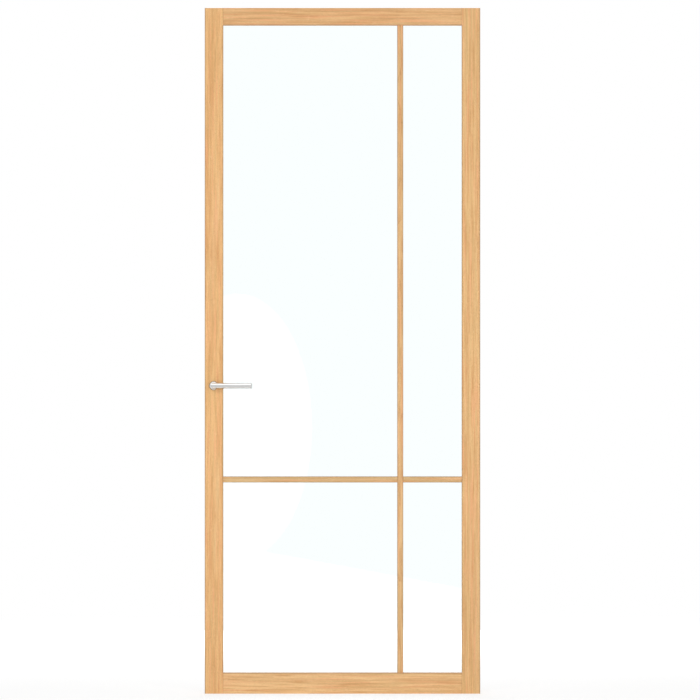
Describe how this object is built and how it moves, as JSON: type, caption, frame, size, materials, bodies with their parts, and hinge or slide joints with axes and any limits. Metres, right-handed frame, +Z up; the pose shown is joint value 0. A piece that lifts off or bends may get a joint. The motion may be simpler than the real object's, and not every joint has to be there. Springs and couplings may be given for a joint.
{
  "type": "glazed door",
  "caption": "Slim oak door leaf with a single clear pane, applied glazing bars that cross off centre, and a bar lever on each face turning one spindle",
  "frame": {"origin": "on the flat hinge edge, at its foot and half way through the leaf's thickness", "axes": "+X out of the hinge edge, +Z up, the front face of the picture towards -Y"},
  "size_m": [0.93, 0.169, 2.315],
  "materials": {
    "oak": "fine straight grain, clear matt lacquer",
    "clear_glass": "clear polished float glass",
    "glazing_tape": "matt closed-cell foam",
    "setting_block": "matt moulded",
    "lock_steel": "brushed stainless",
    "latch_face": "matt moulded nylon",
    "bush": "matt moulded nylon",
    "lever_steel": "fine brushed stainless"
  },
  "bodies": {
    "leaf": {"lock_stile": "oak", "hinge_stile": "oak", "top_rail": "oak", "bottom_rail": "oak", "glass_pane": "clear_glass", "front_glazing_tape": "glazing_tape", "rear_glazing_tape": "glazing_tape", "setting_blocks": "setting_block", "bottom_bead": "oak", "hinge_side_bead": "oak", "top_bead": "oak", "lock_side_bead": "oak", "front_upright_bar": "oak", "front_cross_bar": "oak", "rear_upright_bar": "oak", "rear_cross_bar": "oak", "lock_case": "lock_steel", "forend": "lock_steel", "latch": "latch_face", "front_bush": "bush", "rear_bush": "bush", "front_rose": "lever_steel", "rear_rose": "lever_steel"},
    "handle": {"spindle": "lock_steel", "follower": "lock_steel", "front_neck": "lever_steel", "front_grip": "lever_steel", "front_end_cap": "lever_steel", "rear_neck": "lever_steel", "rear_grip": "lever_steel", "rear_end_cap": "lever_steel"}
  },
  "joints": [
    {"name": "lever_turn", "type": "hinge", "parent": "leaf", "child": "handle", "pos_m": [-0.9, 0, 1.04], "axis": [0, 1, 0], "range_deg": [0, 40], "stiffness_Nm_per_rad": 1.5, "springref_deg": -45.84}
  ]
}
